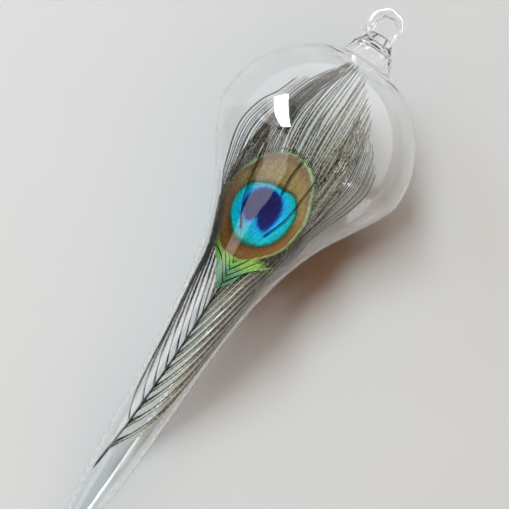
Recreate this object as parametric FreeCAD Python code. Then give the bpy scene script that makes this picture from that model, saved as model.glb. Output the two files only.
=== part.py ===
import FreeCAD, Part
import math
import os

# Clear glass hanging ornament: a blown bulb that runs out into a long drawn tail, closed at the
# neck by a fused gather and a small bent loop, with one loose feather sealed inside.
#
# Frame: +Z up along the glass axis, origin at the inside top of the hanging loop's hole, the
# feather's face towards -Y. Millimetres. "Depth" is the distance down the axis below the bulb's
# crown, and "side" is the distance across the axis towards +X.

# ---- driving dimensions ----
BULB_RADIUS = 30.0
GLASS_WALL = 0.7
CROWN_Z = -13.6               # the bulb sphere's crown, below the hang point
MID_BULB_DEPTH = 12.0         # a depth between the neck and the belly
NECK_RIM_DEPTH = -3.2         # the neck's open rim stands above the crown
NECK_RIM_RADIUS = 6.4
NECK_FLARE = 0.15             # slope at which the neck leaves its rim
NECK_ROOT_DEPTH = 2.5         # where the neck's sweep meets the sphere
# the neck's sweep: (depth, outer radius, how much lower the inner surface bends, in walls)
NECK_OUTLINE = [(NECK_RIM_DEPTH, NECK_RIM_RADIUS, 0.0), (-1.4, 6.75, 0.0), (0.5, 7.7, 0.6)]
TIP_DEPTH = 171.0
TIP_ROUND = 1.6
TIP_TAPER = 0.18              # slope at which the tail runs into its round tip

# outer radius of the shoulder and tail: (depth, radius)
TAIL_OUTLINE = [
    (34.0, 29.3), (38.0, 27.4), (42.0, 25.0), (47.0, 21.9), (53.0, 18.5), (60.0, 15.5),
    (69.0, 12.7), (79.0, 10.8), (91.0, 9.3), (104.0, 8.2), (117.0, 7.4), (129.0, 6.75),
    (139.0, 6.05), (148.0, 5.1), (156.0, 4.0), (163.0, 2.85),
]

# fused gather that closes the neck: (depth, radius)
GATHER_OUTLINE = [
    (NECK_RIM_DEPTH, NECK_RIM_RADIUS), (-4.1, 5.7), (-5.4, 4.75), (-6.8, 4.2), (-7.7, 3.5),
]
GATHER_TOP_DEPTH = -8.0
GATHER_TOP_RADIUS = 2.1
GATHER_DIMPLE = 1.1           # depth of the dimple under the gather, over the neck

# hanging loop, bent from one tapering rod
HOLE_HALF_WIDTH = 2.75
ROD_RADIUS_LEFT = 1.8
ROD_RADIUS_TOP = 1.5
ROD_RADIUS_RIGHT = 0.75
ROD_LOBES = 3
ROD_SIDES = 18
LOBE_HEIGHT = 0.06
TWIST_PITCH = 14.0            # rod length in which the lobes go once round
ARCH_STEPS = 14
LEFT_LEG_SIDE = -(HOLE_HALF_WIDTH + ROD_RADIUS_LEFT)
RIGHT_LEG_SIDE = HOLE_HALF_WIDTH + ROD_RADIUS_RIGHT
# the rod's two legs below the arch: (side, Z, rod radius)
LEFT_LEG = [
    (-2.6, -8.6, 1.6), (-3.65, -6.8, 1.65), (-4.3, -5.2, 1.75), (LEFT_LEG_SIDE, -3.8, ROD_RADIUS_LEFT),
]
RIGHT_LEG = [(RIGHT_LEG_SIDE, -4.2, ROD_RADIUS_RIGHT), (3.35, -5.6, 0.85), (2.8, -7.6, 1.0)]

# feather
FEATHER_CLEARANCE = 0.75      # from the glass to the feather's reach, centre of a barb
QUILL_TIP_DEPTH = 141.6
SHAFT_TOP_DEPTH = 55.0
SHAFT_STATIONS = [139.0, 128.0, 117.0, 105.0, 94.0, 84.0, 76.0, 68.0]
SHAFT_RADIUS_QUILL = 0.5
SHAFT_RADIUS_TOP = 0.3
QUILL_POINT_RADIUS = 0.2
SHAFT_SIDES = 10
VANE_THICKNESS = 0.35
VANE_POINTS = 5               # across the eye, at each of its stations
BACK_LIFT = 0.6               # the loose side barbs and the shaft run this far behind the eye
LIFT_DEPTHS = (82.0, 72.0)    # over which they drop back
BARB_WIDTH = 0.4
CROWN_BARB_WIDTH = 0.36
BARB_TIP_WIDTH = 0.14
BARB_THICKNESS = 0.22
BARB_PITCH = 0.5              # between barbs that lie side by side along the wall
BARB_ROOT_SIDE = 0.12         # a barb's root is this far to its side of the shaft's line
FACING_BACK = 8.0             # strips face away from a line this far in front of the glass axis
SIDE_BARB_STATIONS = 20
CROWN_BARB_STATIONS = 9
ROOT_CROWDING = 1.15          # over 1 puts a side barb's stations closer together at its root
BULGE_FADE = 0.3              # a crown barb's bend moves this much towards its root

# the shaft's line: (depth, side)
SHAFT_LINE = [(55.0, -2.2), (70.2, -1.7), (78.5, -1.2), (94.3, -1.2), (117.2, -2.0), (141.6, -4.1)]
# how far behind the glass axis the feather lies: (depth, distance)
FEATHER_BACK = [
    (0.0, 0.8), (10.0, 4.0), (25.0, 7.0), (45.0, 8.3), (66.0, 8.2), (90.0, 7.0), (117.0, 5.2),
    (141.6, 3.3),
]
# edges of the eye: (depth, left side, right side)
EYE_EDGES = [
    (33.6, -3.8, 0.6), (35.0, -6.6, 3.6), (38.5, -9.8, 6.8), (44.0, -12.6, 9.1), (51.0, -14.0, 10.0),
    (57.5, -13.6, 9.4), (62.5, -11.2, 7.0), (66.5, -7.4, 3.4), (69.0, -3.6, 0.0),
]

# loose side barbs, highest root first
LEFT_BARBS = 13
LEFT_ROOTS = (75.0, 131.0)
LEFT_TIPS = (16.0, 22.0)
RIGHT_BARBS = 15
RIGHT_ROOTS = (77.0, 135.0)
RIGHT_TIPS = (16.0, 30.0)
# depth over which a barb swings out to the wall: (share from the highest to the lowest, depth)
LEFT_SPREAD = [(0.0, 30.0), (0.6, 26.0), (1.0, 8.0)]
RIGHT_SPREAD = [(0.0, 20.0), (1.0, 17.0)]
# angle that the barbs reach round the feather's curved sheet, in degrees: (depth, angle)
LEFT_OUTER = [
    (12.0, 42.0), (20.0, 50.0), (33.0, 53.0), (43.0, 63.0), (54.0, 84.0), (70.0, 100.0), (140.0, 104.0),
]
LEFT_INNER = [(12.0, 15.0), (20.0, 18.0), (33.0, 21.0), (54.0, 27.0), (70.0, 12.0)]
RIGHT_OUTER = [
    (14.0, 36.0), (25.0, 45.0), (32.0, 49.0), (42.0, 52.0), (52.0, 56.0), (62.0, 84.0), (70.0, 98.0),
    (140.0, 104.0),
]
RIGHT_INNER = [(14.0, 24.0), (25.0, 18.0), (42.0, 16.0), (54.0, 17.0), (70.0, 10.0)]
FAN_DEPTHS = (54.0, 76.0)     # between these the barbs go from packed at the wall to evenly fanned

# crown barbs, by their share of the way from the leftmost to the rightmost
CROWN_BARBS = 13
CROWN_ROOT_DEPTH = [
    (0.0, 48.5), (0.16, 40.0), (0.34, 35.6), (0.5, 34.6), (0.66, 35.6), (0.84, 39.5), (1.0, 47.5),
]
CROWN_ROOT_SIDE = [
    (0.0, -13.1), (0.16, -10.2), (0.34, -6.0), (0.5, -2.0), (0.66, 3.0), (0.84, 6.8), (1.0, 9.0),
]
CROWN_TIP_DEPTH = [(0.0, 9.0), (0.25, 5.0), (0.5, 3.4), (0.7, 6.0), (0.85, 10.5), (1.0, 15.5)]
CROWN_TIP_SIDE = [(0.0, -9.0), (0.25, -5.2), (0.5, -2.0), (0.7, 2.8), (0.85, 6.6), (1.0, 11.0)]
CROWN_BULGE = [(0.0, -4.6), (0.3, -4.0), (0.55, -1.0), (1.0, 2.6)]


def smooth(table):
    """A function through the table's points that keeps their rise and fall, with no overshoot."""
    xs = [point[0] for point in table]
    ys = [point[1] for point in table]
    steps = [xs[i + 1] - xs[i] for i in range(len(xs) - 1)]
    slopes = [(ys[i + 1] - ys[i]) / steps[i] for i in range(len(steps))]
    tangents = [slopes[0]]
    for before, after in zip(slopes, slopes[1:]):
        tangents.append(2.0 * before * after / (before + after) if before * after > 0 else 0.0)
    tangents.append(slopes[-1])

    def value(x):
        x = min(max(x, xs[0]), xs[-1])
        i = max(j for j in range(len(steps)) if xs[j] <= x)
        u = (x - xs[i]) / steps[i]
        a = ys[i] * (1 + 2 * u) * (1 - u) ** 2
        b = steps[i] * tangents[i] * u * (1 - u) ** 2
        c = ys[i + 1] * u * u * (3 - 2 * u)
        d = steps[i] * tangents[i + 1] * u * u * (u - 1)
        return a + b + c + d

    return value


def ramp(x, start, end):
    """0 at start, 1 at end, with soft ends."""
    u = min(max((x - start) / (end - start), 0.0), 1.0)
    return u * u * (3.0 - 2.0 * u)


def point(side, back, depth):
    return FreeCAD.Vector(side, back, CROWN_Z - depth)


def ring(centre, along, radius, sides, turn=0.0, lobes=0, lobe_height=0.0):
    """A closed many-sided outline across a direction, optionally lobed and turned for a twist."""
    normal = FreeCAD.Vector(along).normalize()
    first = FreeCAD.Vector(0, 1, 0) - normal * normal.y
    first.normalize()
    second = normal.cross(first)
    corners = []
    for i in range(sides):
        angle = 2.0 * math.pi * i / sides
        r = radius * (1.0 + lobe_height * math.cos(lobes * angle))
        x = r * math.cos(angle + turn)
        y = r * math.sin(angle + turn)
        corners.append(centre + first * x + second * y)
    return Part.makePolygon(corners + corners[:1])


# ---- glass ----

def sphere_radius(depth, radius=BULB_RADIUS):
    """Radius at a depth of a sphere about the bulb's centre."""
    return math.sqrt(max(radius ** 2 - (depth - BULB_RADIUS) ** 2, 0.0))


tail_radius = smooth(
    [(BULB_RADIUS, BULB_RADIUS)] + TAIL_OUTLINE + [(TIP_DEPTH - TIP_ROUND, TIP_ROUND)]
)


def outer_radius(depth):
    return sphere_radius(depth) if depth < BULB_RADIUS else tail_radius(depth)


def glass_outline(inset):
    """Edges of the glass outline in the XZ plane, moved inwards by inset: neck, bulb, tail, tip."""
    radius = BULB_RADIUS - inset
    root = point(sphere_radius(NECK_ROOT_DEPTH, radius), 0, NECK_ROOT_DEPTH)
    upper = point(sphere_radius(MID_BULB_DEPTH, radius), 0, MID_BULB_DEPTH)
    belly = point(radius, 0, BULB_RADIUS)
    from_centre = root - point(0, 0, BULB_RADIUS)
    down = FreeCAD.Vector(0, 0, -1)

    neck = Part.BSplineCurve()
    neck.interpolate(
        [point(r - inset, 0, d + sink * inset) for d, r, sink in NECK_OUTLINE] + [root],
        InitialTangent=FreeCAD.Vector(NECK_FLARE, 0, -1).normalize(),
        FinalTangent=FreeCAD.Vector(from_centre.z, 0, -from_centre.x).normalize(),
    )
    tail = Part.BSplineCurve()
    tail_end = point(TIP_ROUND - inset, 0, TIP_DEPTH - TIP_ROUND)
    stations = [point(r - inset, 0, d) for d, r in TAIL_OUTLINE]
    tail.interpolate(
        [belly] + stations + [tail_end],
        InitialTangent=down,
        FinalTangent=FreeCAD.Vector(-TIP_TAPER, 0, -1).normalize(),
    )
    tip_radius = TIP_ROUND - inset
    middle = point(tip_radius * math.sqrt(0.5), 0, TIP_DEPTH - TIP_ROUND + tip_radius * math.sqrt(0.5))
    tip = point(0, 0, TIP_DEPTH - TIP_ROUND + tip_radius)
    bulb_edge = Part.Arc(root, upper, belly).toShape()
    tip_edge = Part.Arc(tail_end, middle, tip).toShape()
    return [neck.toShape(), bulb_edge, tail.toShape(), tip_edge]


def revolved(edges):
    face = Part.Face(Part.Wire(edges))
    return Part.makeSolid(face.revolve(FreeCAD.Vector(0, 0, 0), FreeCAD.Vector(0, 0, 1), 360).Shells[0])


def glass_envelope():
    """The blown shell: open neck rim, bulb, shoulder, tail and rounded tip, one wall thickness."""
    outside = glass_outline(0.0)
    inside = glass_outline(GLASS_WALL)
    outer_rim = outside[0].Vertexes[0].Point
    inner_rim = inside[0].Vertexes[0].Point
    outer_tip = outside[-1].Vertexes[-1].Point
    inner_tip = inside[-1].Vertexes[-1].Point
    across_rim = Part.makeLine(outer_rim, inner_rim)
    across_tip = Part.makeLine(outer_tip, inner_tip)
    return revolved(outside + [across_tip] + inside[::-1] + [across_rim])


def neck_gather():
    """Solid glass that closes the neck, seated on the neck's rim, dimpled underneath."""
    side = Part.BSplineCurve()
    side.interpolate([point(r, 0, d) for d, r in GATHER_OUTLINE])
    high_depth, high_radius = GATHER_OUTLINE[-1]
    seat_inner = point(NECK_RIM_RADIUS - GLASS_WALL, 0, NECK_RIM_DEPTH)
    ball = (seat_inner.x ** 2 + GATHER_DIMPLE ** 2) / (2.0 * GATHER_DIMPLE)
    half_turn = math.asin(seat_inner.x / ball) / 2.0
    dimple_top = point(0, 0, NECK_RIM_DEPTH - GATHER_DIMPLE)
    dimple_bend = FreeCAD.Vector(ball * math.sin(half_turn), 0, ball * (math.cos(half_turn) - 1.0))
    dimple = Part.Arc(seat_inner, dimple_top + dimple_bend, dimple_top).toShape()
    top = point(0, 0, GATHER_TOP_DEPTH)
    top_edge = point(GATHER_TOP_RADIUS, 0, GATHER_TOP_DEPTH)
    return revolved([
        Part.makeLine(seat_inner, point(NECK_RIM_RADIUS, 0, NECK_RIM_DEPTH)),
        side.toShape(),
        Part.makeLine(point(high_radius, 0, high_depth), top_edge),
        Part.makeLine(top_edge, top),
        Part.makeLine(top, dimple_top),
        dimple,
    ])


def loop_stations():
    """Side, Z and radius of the rod from the left root over the arch to the right root."""
    stations = list(LEFT_LEG)
    for i in range(ARCH_STEPS + 1):
        share = i / ARCH_STEPS
        turn = math.pi * (1.0 - share)
        if share < 0.5:
            radius = ROD_RADIUS_LEFT + (ROD_RADIUS_TOP - ROD_RADIUS_LEFT) * share * 2.0
        else:
            radius = ROD_RADIUS_TOP + (ROD_RADIUS_RIGHT - ROD_RADIUS_TOP) * (share - 0.5) * 2.0
        distance = HOLE_HALF_WIDTH + radius
        height = distance * math.sin(turn) - HOLE_HALF_WIDTH
        stations.append((distance * math.cos(turn), height, radius))
    return stations + RIGHT_LEG


def hanger_loop():
    """One tapering rod, twisted and bent over into a loop, both ends sunk in the gather."""
    stations = loop_stations()
    places = [FreeCAD.Vector(x, 0, z) for x, z, radius in stations]
    wires = []
    travelled = 0.0
    for i, place in enumerate(places):
        ahead = places[min(i + 1, len(places) - 1)]
        behind = places[max(i - 1, 0)]
        if i:
            travelled += (place - behind).Length
        turn = 2.0 * math.pi * travelled / TWIST_PITCH
        radius = stations[i][2]
        wires.append(ring(place, ahead - behind, radius, ROD_SIDES, turn, ROD_LOBES, LOBE_HEIGHT))
    return Part.makeLoft(wires, True, True)


# ---- feather ----

feather_back = smooth(FEATHER_BACK)
shaft_side = smooth(SHAFT_LINE)


def reach(depth):
    """How far from the axis the feather may come at a depth."""
    return outer_radius(depth) - GLASS_WALL - FEATHER_CLEARANCE


def lift(depth):
    """Shaft and loose barbs drop behind the eye as they pass it."""
    return BACK_LIFT * ramp(depth, *LIFT_DEPTHS)


def on_sheet(depth, angle, behind=0.0):
    """A point of the feather's curved sheet: an ellipse about the glass axis at every depth."""
    side = reach(depth) * math.sin(angle)
    return point(side, feather_back(depth) * math.cos(angle) + behind, depth)


def sheet_angle(depth, side):
    return math.asin(max(-1.0, min(1.0, side / reach(depth))))


def strip(places, widths, thickness):
    """A thin closed strip along 3-D places, flat to the sheet, lofted through small rectangles."""
    wires = []
    for i, place in enumerate(places):
        ahead = places[min(i + 1, len(places) - 1)]
        behind = places[max(i - 1, 0)]
        along = (ahead - behind).normalize()
        outwards = FreeCAD.Vector(place.x, place.y + FACING_BACK, 0)
        normal = outwards - along * outwards.dot(along)
        normal.normalize()
        across = along.cross(normal) * (widths[i] / 2.0)
        through = normal * (thickness / 2.0)
        corners = [
            place + across + through,
            place - across + through,
            place - across - through,
            place + across - through,
        ]
        wires.append(Part.makePolygon(corners + corners[:1]))
    return Part.makeLoft(wires, True, True)


def feather_shaft():
    """Quill and shaft: a tapering round rod from the quill tip to the notch of the eye."""
    depths = [QUILL_TIP_DEPTH] + SHAFT_STATIONS + [SHAFT_TOP_DEPTH]
    places = [on_sheet(d, sheet_angle(d, shaft_side(d)), lift(d)) for d in depths]
    wires = []
    for i, place in enumerate(places):
        along = places[min(i + 1, len(places) - 1)] - places[max(i - 1, 0)]
        share = (QUILL_TIP_DEPTH - depths[i]) / (QUILL_TIP_DEPTH - SHAFT_TOP_DEPTH)
        radius = SHAFT_RADIUS_QUILL + (SHAFT_RADIUS_TOP - SHAFT_RADIUS_QUILL) * share
        if i == 0:
            radius = QUILL_POINT_RADIUS
        wires.append(ring(place, along, radius, SHAFT_SIDES))
    return Part.makeLoft(wires, True, True)


def eye_vane():
    """The eye: barbs locked into one thin egg-shaped web, curved with the feather's sheet."""
    wires = []
    for depth, left, right in EYE_EDGES:
        low = sheet_angle(depth, left)
        high = sheet_angle(depth, right)
        front = []
        back = []
        half_thickness = FreeCAD.Vector(0, VANE_THICKNESS / 2.0, 0)
        for i in range(VANE_POINTS):
            angle = low + (high - low) * i / (VANE_POINTS - 1)
            place = on_sheet(depth, angle)
            front.append(place - half_thickness)
            back.append(place + half_thickness)
        front_curve = Part.BSplineCurve()
        front_curve.interpolate(front)
        back_curve = Part.BSplineCurve()
        back_curve.interpolate(back[::-1])
        wires.append(Part.Wire([
            front_curve.toShape(),
            Part.makeLine(front[-1], back[-1]),
            back_curve.toShape(),
            Part.makeLine(back[0], front[0]),
        ]))
    return Part.makeLoft(wires, True, False)


def side_barb(root, share, behind_count, sign, spread, outer, inner, tip_depth):
    """One loose barb: it leaves the shaft, swings out to the glass wall and runs up into the bulb.

    behind_count barbs have lower roots, and lie between this one and the wall.
    """
    root_angle = sheet_angle(root, shaft_side(root) + sign * BARB_ROOT_SIDE)
    places = []
    widths = []
    for i in range(SIDE_BARB_STATIONS + 1):
        travel = i / SIDE_BARB_STATIONS
        depth = root + (tip_depth - root) * travel ** ROOT_CROWDING
        swing = 1.0 - math.exp(-(root - depth) / spread)
        start = sheet_angle(depth, shaft_side(depth)) if depth > SHAFT_TOP_DEPTH else root_angle
        at_wall = math.radians(outer(depth)) - behind_count * BARB_PITCH / feather_back(depth)
        packed = start + (sign * at_wall - start) * swing
        fanned = sign * math.radians(inner(depth) + (outer(depth) - inner(depth)) * share)
        angle = packed + (fanned - packed) * (1.0 - ramp(depth, *FAN_DEPTHS))
        if i == 0:
            angle = root_angle
        places.append(on_sheet(depth, angle, lift(depth)))
        widths.append(BARB_WIDTH + (BARB_TIP_WIDTH - BARB_WIDTH) * travel)
    return strip(places, widths, BARB_THICKNESS)


def side_barbs(count, sign, roots, tips, spread_table, outer_table, inner_table):
    """All loose barbs of one side, the highest root first."""
    spread = smooth(spread_table)
    outer = smooth(outer_table)
    inner = smooth(inner_table)
    barbs = []
    for rank in range(count):
        share = rank / (count - 1)
        root = roots[0] + (roots[1] - roots[0]) * share
        tip_depth = tips[0] + (tips[1] - tips[0]) * share
        fan_share = (rank + 0.5) / count
        behind_count = count - 1 - rank
        barbs.append(side_barb(root, fan_share, behind_count, sign, spread(share), outer, inner, tip_depth))
    return barbs


def crown_barbs():
    """The crown's barbs, from the eye's upper rim to the neck or to a free tip, leftmost first."""
    root_depth = smooth(CROWN_ROOT_DEPTH)
    root_side = smooth(CROWN_ROOT_SIDE)
    tip_depth = smooth(CROWN_TIP_DEPTH)
    tip_side = smooth(CROWN_TIP_SIDE)
    bulge = smooth(CROWN_BULGE)
    barbs = []
    for number in range(CROWN_BARBS):
        share = number / (CROWN_BARBS - 1)
        places = []
        widths = []
        for i in range(CROWN_BARB_STATIONS + 1):
            travel = i / CROWN_BARB_STATIONS
            depth = root_depth(share) + (tip_depth(share) - root_depth(share)) * travel
            side = root_side(share) + (tip_side(share) - root_side(share)) * travel
            side += bulge(share) * math.sin(math.pi * travel) * (1.0 - BULGE_FADE * travel)
            places.append(on_sheet(depth, sheet_angle(depth, side)))
            widths.append(CROWN_BARB_WIDTH + (BARB_TIP_WIDTH - CROWN_BARB_WIDTH) * travel)
        barbs.append(strip(places, widths, BARB_THICKNESS))
    return barbs


def build():
    """Every node's name and shape."""
    nodes = {
        "glass_envelope": glass_envelope(),
        "neck_gather": neck_gather(),
        "hanger_loop": hanger_loop(),
        "feather_shaft": feather_shaft(),
        "eye_vane": eye_vane(),
    }
    left = side_barbs(LEFT_BARBS, -1, LEFT_ROOTS, LEFT_TIPS, LEFT_SPREAD, LEFT_OUTER, LEFT_INNER)
    right = side_barbs(RIGHT_BARBS, 1, RIGHT_ROOTS, RIGHT_TIPS, RIGHT_SPREAD, RIGHT_OUTER, RIGHT_INNER)
    for group, barbs in (("left", left), ("right", right), ("crown", crown_barbs())):
        for number, shape in enumerate(barbs, 1):
            nodes["%s_barb_%02d" % (group, number)] = shape
    return nodes


os.makedirs("parts", exist_ok=True)
for name, shape in build().items():
    if not shape.isValid() or shape.Volume <= 0:
        print("check", name, shape.isValid(), round(shape.Volume, 3))
    shape.exportStep("parts/%s.step" % name)
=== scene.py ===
"""Looks of the glass hanging ornament: clear blown glass with one eyed feather sealed inside.

Places are worked out in millimetres as (side, back, depth): side across the axis towards +X, back
away from the camera towards +Y, and depth down the axis from the bulb's crown. Meshes are in
metres.
"""
import math

import bpy
import numpy as np
from mathutils import Matrix, Vector


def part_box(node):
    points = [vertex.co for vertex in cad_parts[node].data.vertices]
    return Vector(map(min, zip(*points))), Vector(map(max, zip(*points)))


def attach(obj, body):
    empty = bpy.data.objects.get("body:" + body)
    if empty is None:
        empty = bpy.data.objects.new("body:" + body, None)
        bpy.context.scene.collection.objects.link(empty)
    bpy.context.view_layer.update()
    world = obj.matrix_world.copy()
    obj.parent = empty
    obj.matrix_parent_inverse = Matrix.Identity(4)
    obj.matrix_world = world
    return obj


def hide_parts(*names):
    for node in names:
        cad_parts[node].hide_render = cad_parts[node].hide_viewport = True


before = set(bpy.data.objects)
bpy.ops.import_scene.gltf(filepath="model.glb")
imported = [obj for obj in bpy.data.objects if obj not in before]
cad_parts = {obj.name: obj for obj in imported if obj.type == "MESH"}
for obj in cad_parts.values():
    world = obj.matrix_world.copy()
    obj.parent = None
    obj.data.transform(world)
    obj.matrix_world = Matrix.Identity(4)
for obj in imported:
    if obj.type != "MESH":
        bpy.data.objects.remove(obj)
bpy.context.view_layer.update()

MM = 0.001
rng = np.random.default_rng(7)

# ---- driving sizes of the glass, from the frame ----
GLASS_LOW, GLASS_HIGH = [np.array(corner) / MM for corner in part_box("glass_envelope")]
BULB_RADIUS = (GLASS_HIGH[0] - GLASS_LOW[0]) / 2.0
NECK_RIM_DEPTH = -3.2
CROWN_Z = GLASS_HIGH[2] + NECK_RIM_DEPTH
TIP_DEPTH = CROWN_Z - GLASS_LOW[2]
GLASS_WALL = 0.7
TIP_ROUND = 1.6
# from the bulb's widest place down the tail: (depth, radius)
TAIL_OUTLINE = [
    (30.0, 30.0), (31.0, 29.97), (32.0, 29.86),
    (34.0, 29.3), (38.0, 27.4), (42.0, 25.0), (47.0, 21.9), (53.0, 18.5), (60.0, 15.5),
    (69.0, 12.7), (79.0, 10.8), (91.0, 9.3), (104.0, 8.2), (117.0, 7.4), (129.0, 6.75),
    (139.0, 6.05), (148.0, 5.1), (156.0, 4.0), (163.0, 2.85),
]
# from the bulb's sphere up the neck and over the gather: (depth, radius)
NECK_OUTLINE = [
    (2.5, 11.99), (0.5, 7.7), (-1.4, 6.75), (-3.2, 6.4), (-4.1, 5.7), (-5.4, 4.75), (-6.8, 4.2),
    (-7.7, 3.4), (-8.1, 2.0), (-8.15, 0.0),
]
# inside of the neck, up to the dimple under the gather: (depth, radius)
NECK_INSIDE = [(2.9, 10.95), (1.0, 7.1), (-1.4, 6.05), (-2.9, 5.5), (-3.7, 3.6), (-4.2, 1.6), (-4.3, 0.0)]

# ---- driving sizes of the feather ----
FEATHER_CLEARANCE = 0.75
BACK_LIFT = 0.6
LIFT_DEPTHS = (82.0, 72.0)
QUILL_TIP_DEPTH = 141.6
SHAFT_LINE = [(55.0, -2.2), (70.2, -1.7), (78.5, -1.2), (94.3, -1.2), (117.2, -2.0), (141.6, -4.1)]
FEATHER_BACK = [
    (0.0, 0.8), (10.0, 4.0), (25.0, 7.0), (45.0, 8.3), (66.0, 8.2), (90.0, 7.0), (117.0, 5.2),
    (141.6, 3.3),
]
FACING_BACK = 8.0
EYE_FLATNESS = 0.5            # 0 bends like the ellipse, 1 is a flat sheet
FLAT_DEPTHS = (88.0, 68.0)
WALL_EASE = 0.2               # how far the sheet's edges may go past its reach, towards the glass


# ---- curves ----

def hermite(start, end, start_slope, end_slope, step, u):
    """The cubic over one step from start to end with these slopes, at shares u of the step."""
    first = start * (1 + 2 * u) * (1 - u) ** 2 + step * start_slope * u * (1 - u) ** 2
    last = end * u * u * (3 - 2 * u) + step * end_slope * u * u * (u - 1)
    return first + last


def lengths_along(points):
    """Length of the line through points from its start to each of them."""
    return np.concatenate([[0.0], np.cumsum(np.linalg.norm(np.diff(points, axis=0), axis=1))])


def smooth(table):
    """A function through the table's points that keeps their rise and fall, for one value or many."""
    xs, ys = np.array(table, dtype=float).T
    steps = np.diff(xs)
    slopes = np.diff(ys) / steps
    before, after = slopes[:-1], slopes[1:]
    same_way = before * after > 0
    total = np.where(same_way, before + after, 1.0)
    inner = np.where(same_way, 2.0 * before * after / total, 0.0)
    tangents = np.concatenate([slopes[:1], inner, slopes[-1:]])

    def value(x):
        x = np.clip(x, xs[0], xs[-1])
        i = np.clip(np.searchsorted(xs, x, side="right") - 1, 0, len(steps) - 1)
        u = (x - xs[i]) / steps[i]
        return hermite(ys[i], ys[i + 1], tangents[i], tangents[i + 1], steps[i], u)

    return value


def smooth_line(points, count):
    """count points, evenly spaced, on a smooth line through the given points of any dimension."""
    points = np.array(points, dtype=float)
    runs = lengths_along(points)
    along = np.linspace(0.0, runs[-1], count)
    tangents = np.gradient(points, runs, axis=0)
    i = np.clip(np.searchsorted(runs, along, side="right") - 1, 0, len(runs) - 2)
    step = (runs[i + 1] - runs[i])[:, None]
    u = ((along - runs[i]) / step[:, 0])[:, None]
    return hermite(points[i], points[i + 1], tangents[i], tangents[i + 1], step, u)


def ramp(x, start, end):
    """0 at start, 1 at end, with soft ends."""
    u = np.clip((x - start) / (end - start), 0.0, 1.0)
    return u * u * (3.0 - 2.0 * u)


def unit(vectors):
    """The vectors made one long."""
    return vectors / np.linalg.norm(vectors, axis=-1, keepdims=True)


def turns_round(sides):
    """Angles of sides points evenly round a circle."""
    return np.arange(sides) * 2.0 * math.pi / sides


def in_frame(side, back, depth):
    """Millimetre points of the row frame from side, back and depth."""
    side, back, depth = np.broadcast_arrays(side, back, depth)
    return np.stack([side, back, CROWN_Z - depth], axis=-1)


tail_radius = smooth(TAIL_OUTLINE + [(TIP_DEPTH - TIP_ROUND, TIP_ROUND)])
feather_back = smooth(FEATHER_BACK)
shaft_side = smooth(SHAFT_LINE)


def outer_radius(depth):
    """Radius of the bulb and the tail."""
    sphere = np.sqrt(np.maximum(BULB_RADIUS ** 2 - (depth - BULB_RADIUS) ** 2, 0.0))
    return np.where(depth < BULB_RADIUS, sphere, tail_radius(depth))


def reach(depth):
    """Half the width of the feather's sheet."""
    return outer_radius(depth) - GLASS_WALL - FEATHER_CLEARANCE


def lift(depth):
    """How far the shaft and the side barbs stand back from the sheet, so as to pass behind the eye."""
    return BACK_LIFT * ramp(depth, *LIFT_DEPTHS)


def on_sheet(depth, angle, behind=0.0):
    """A point of the feather's curved sheet, at an angle round the glass axis from straight back.

    The sheet bends like an ellipse about the axis, less so from the eye up, and keeps off the glass.
    """
    flatness = EYE_FLATNESS * ramp(depth, *FLAT_DEPTHS)
    side = reach(depth) * np.sin(angle)
    back = feather_back(depth) * (flatness + (1.0 - flatness) * np.cos(angle)) + behind
    from_axis = np.maximum(np.hypot(side, back), 0.1)
    inside = np.minimum(1.0, (reach(depth) + WALL_EASE) / from_axis)
    return in_frame(side * inside, back * inside, depth)


def sheet_angle(depth, side):
    """The sheet's angle at which it is so far to the side."""
    return np.arcsin(np.clip(side / np.maximum(reach(depth), 0.5), -1.0, 1.0))


def on_sheet_at(depth, side, behind=0.0):
    """A point of the feather's sheet by its side instead of its angle."""
    return on_sheet(depth, sheet_angle(depth, side), behind)


# ---- mesh building ----

def put(obj, place, right, up, back):
    """Puts an object at a place in metres, turned so that its axes point these ways."""
    turned = Matrix((right, up, back)).transposed().to_4x4()
    obj.matrix_world = Matrix.Translation(place) @ turned


def new_object(name, data):
    """An object in the scene with this mesh, light or camera."""
    obj = bpy.data.objects.new(name, data)
    bpy.context.scene.collection.objects.link(obj)
    return obj


class Piece:
    """Collects closed bits of mesh, in millimetres, with one number per point for each attribute."""

    def __init__(self, *attributes):
        self.points = []
        self.faces = []
        self.smooth_flags = []
        self.values = {name: [] for name in attributes}
        self.count = 0

    def add(self, points, faces, shade_smooth, **values):
        points = np.asarray(points, dtype=float).reshape(-1, 3)
        self.points.append(points)
        for face in faces:
            self.faces.append([int(i) + self.count for i in face])
        self.smooth_flags.extend([shade_smooth] * len(faces))
        for name, store in self.values.items():
            store.append(np.broadcast_to(np.asarray(values.get(name, 0.0), dtype=float), len(points)))
        self.count += len(points)

    def build(self, name, material, body, slot):
        mesh = bpy.data.meshes.new(name)
        mesh.from_pydata(np.concatenate(self.points) * MM, [], self.faces)
        mesh.polygons.foreach_set("use_smooth", self.smooth_flags)
        for attribute, store in self.values.items():
            layer = mesh.attributes.new(attribute, "FLOAT", "POINT")
            layer.data.foreach_set("value", np.concatenate(store).astype(np.float32))
        mesh.materials.append(material)
        mesh.update()
        piece = new_object(name, mesh)
        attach(piece, body)
        return piece


def tube_faces(rows, sides, closed_ends=True):
    """Quads of a tube whose points run row by row, with a cap at each end."""
    faces = []
    for row in range(rows - 1):
        here = row * sides
        there = here + sides
        for k in range(sides):
            after = (k + 1) % sides
            faces.append((here + k, here + after, there + after, there + k))
    if closed_ends:
        faces.append(tuple(reversed(range(sides))))
        faces.append(tuple((rows - 1) * sides + k for k in range(sides)))
    return faces


def line_frames(places, outwards):
    """Unit direction, across and normal at each place of a line, the normal near outwards."""
    along = unit(np.gradient(places, axis=0))
    normal = unit(outwards - along * np.sum(outwards * along, axis=1, keepdims=True))
    return along, np.cross(along, normal), normal


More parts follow.
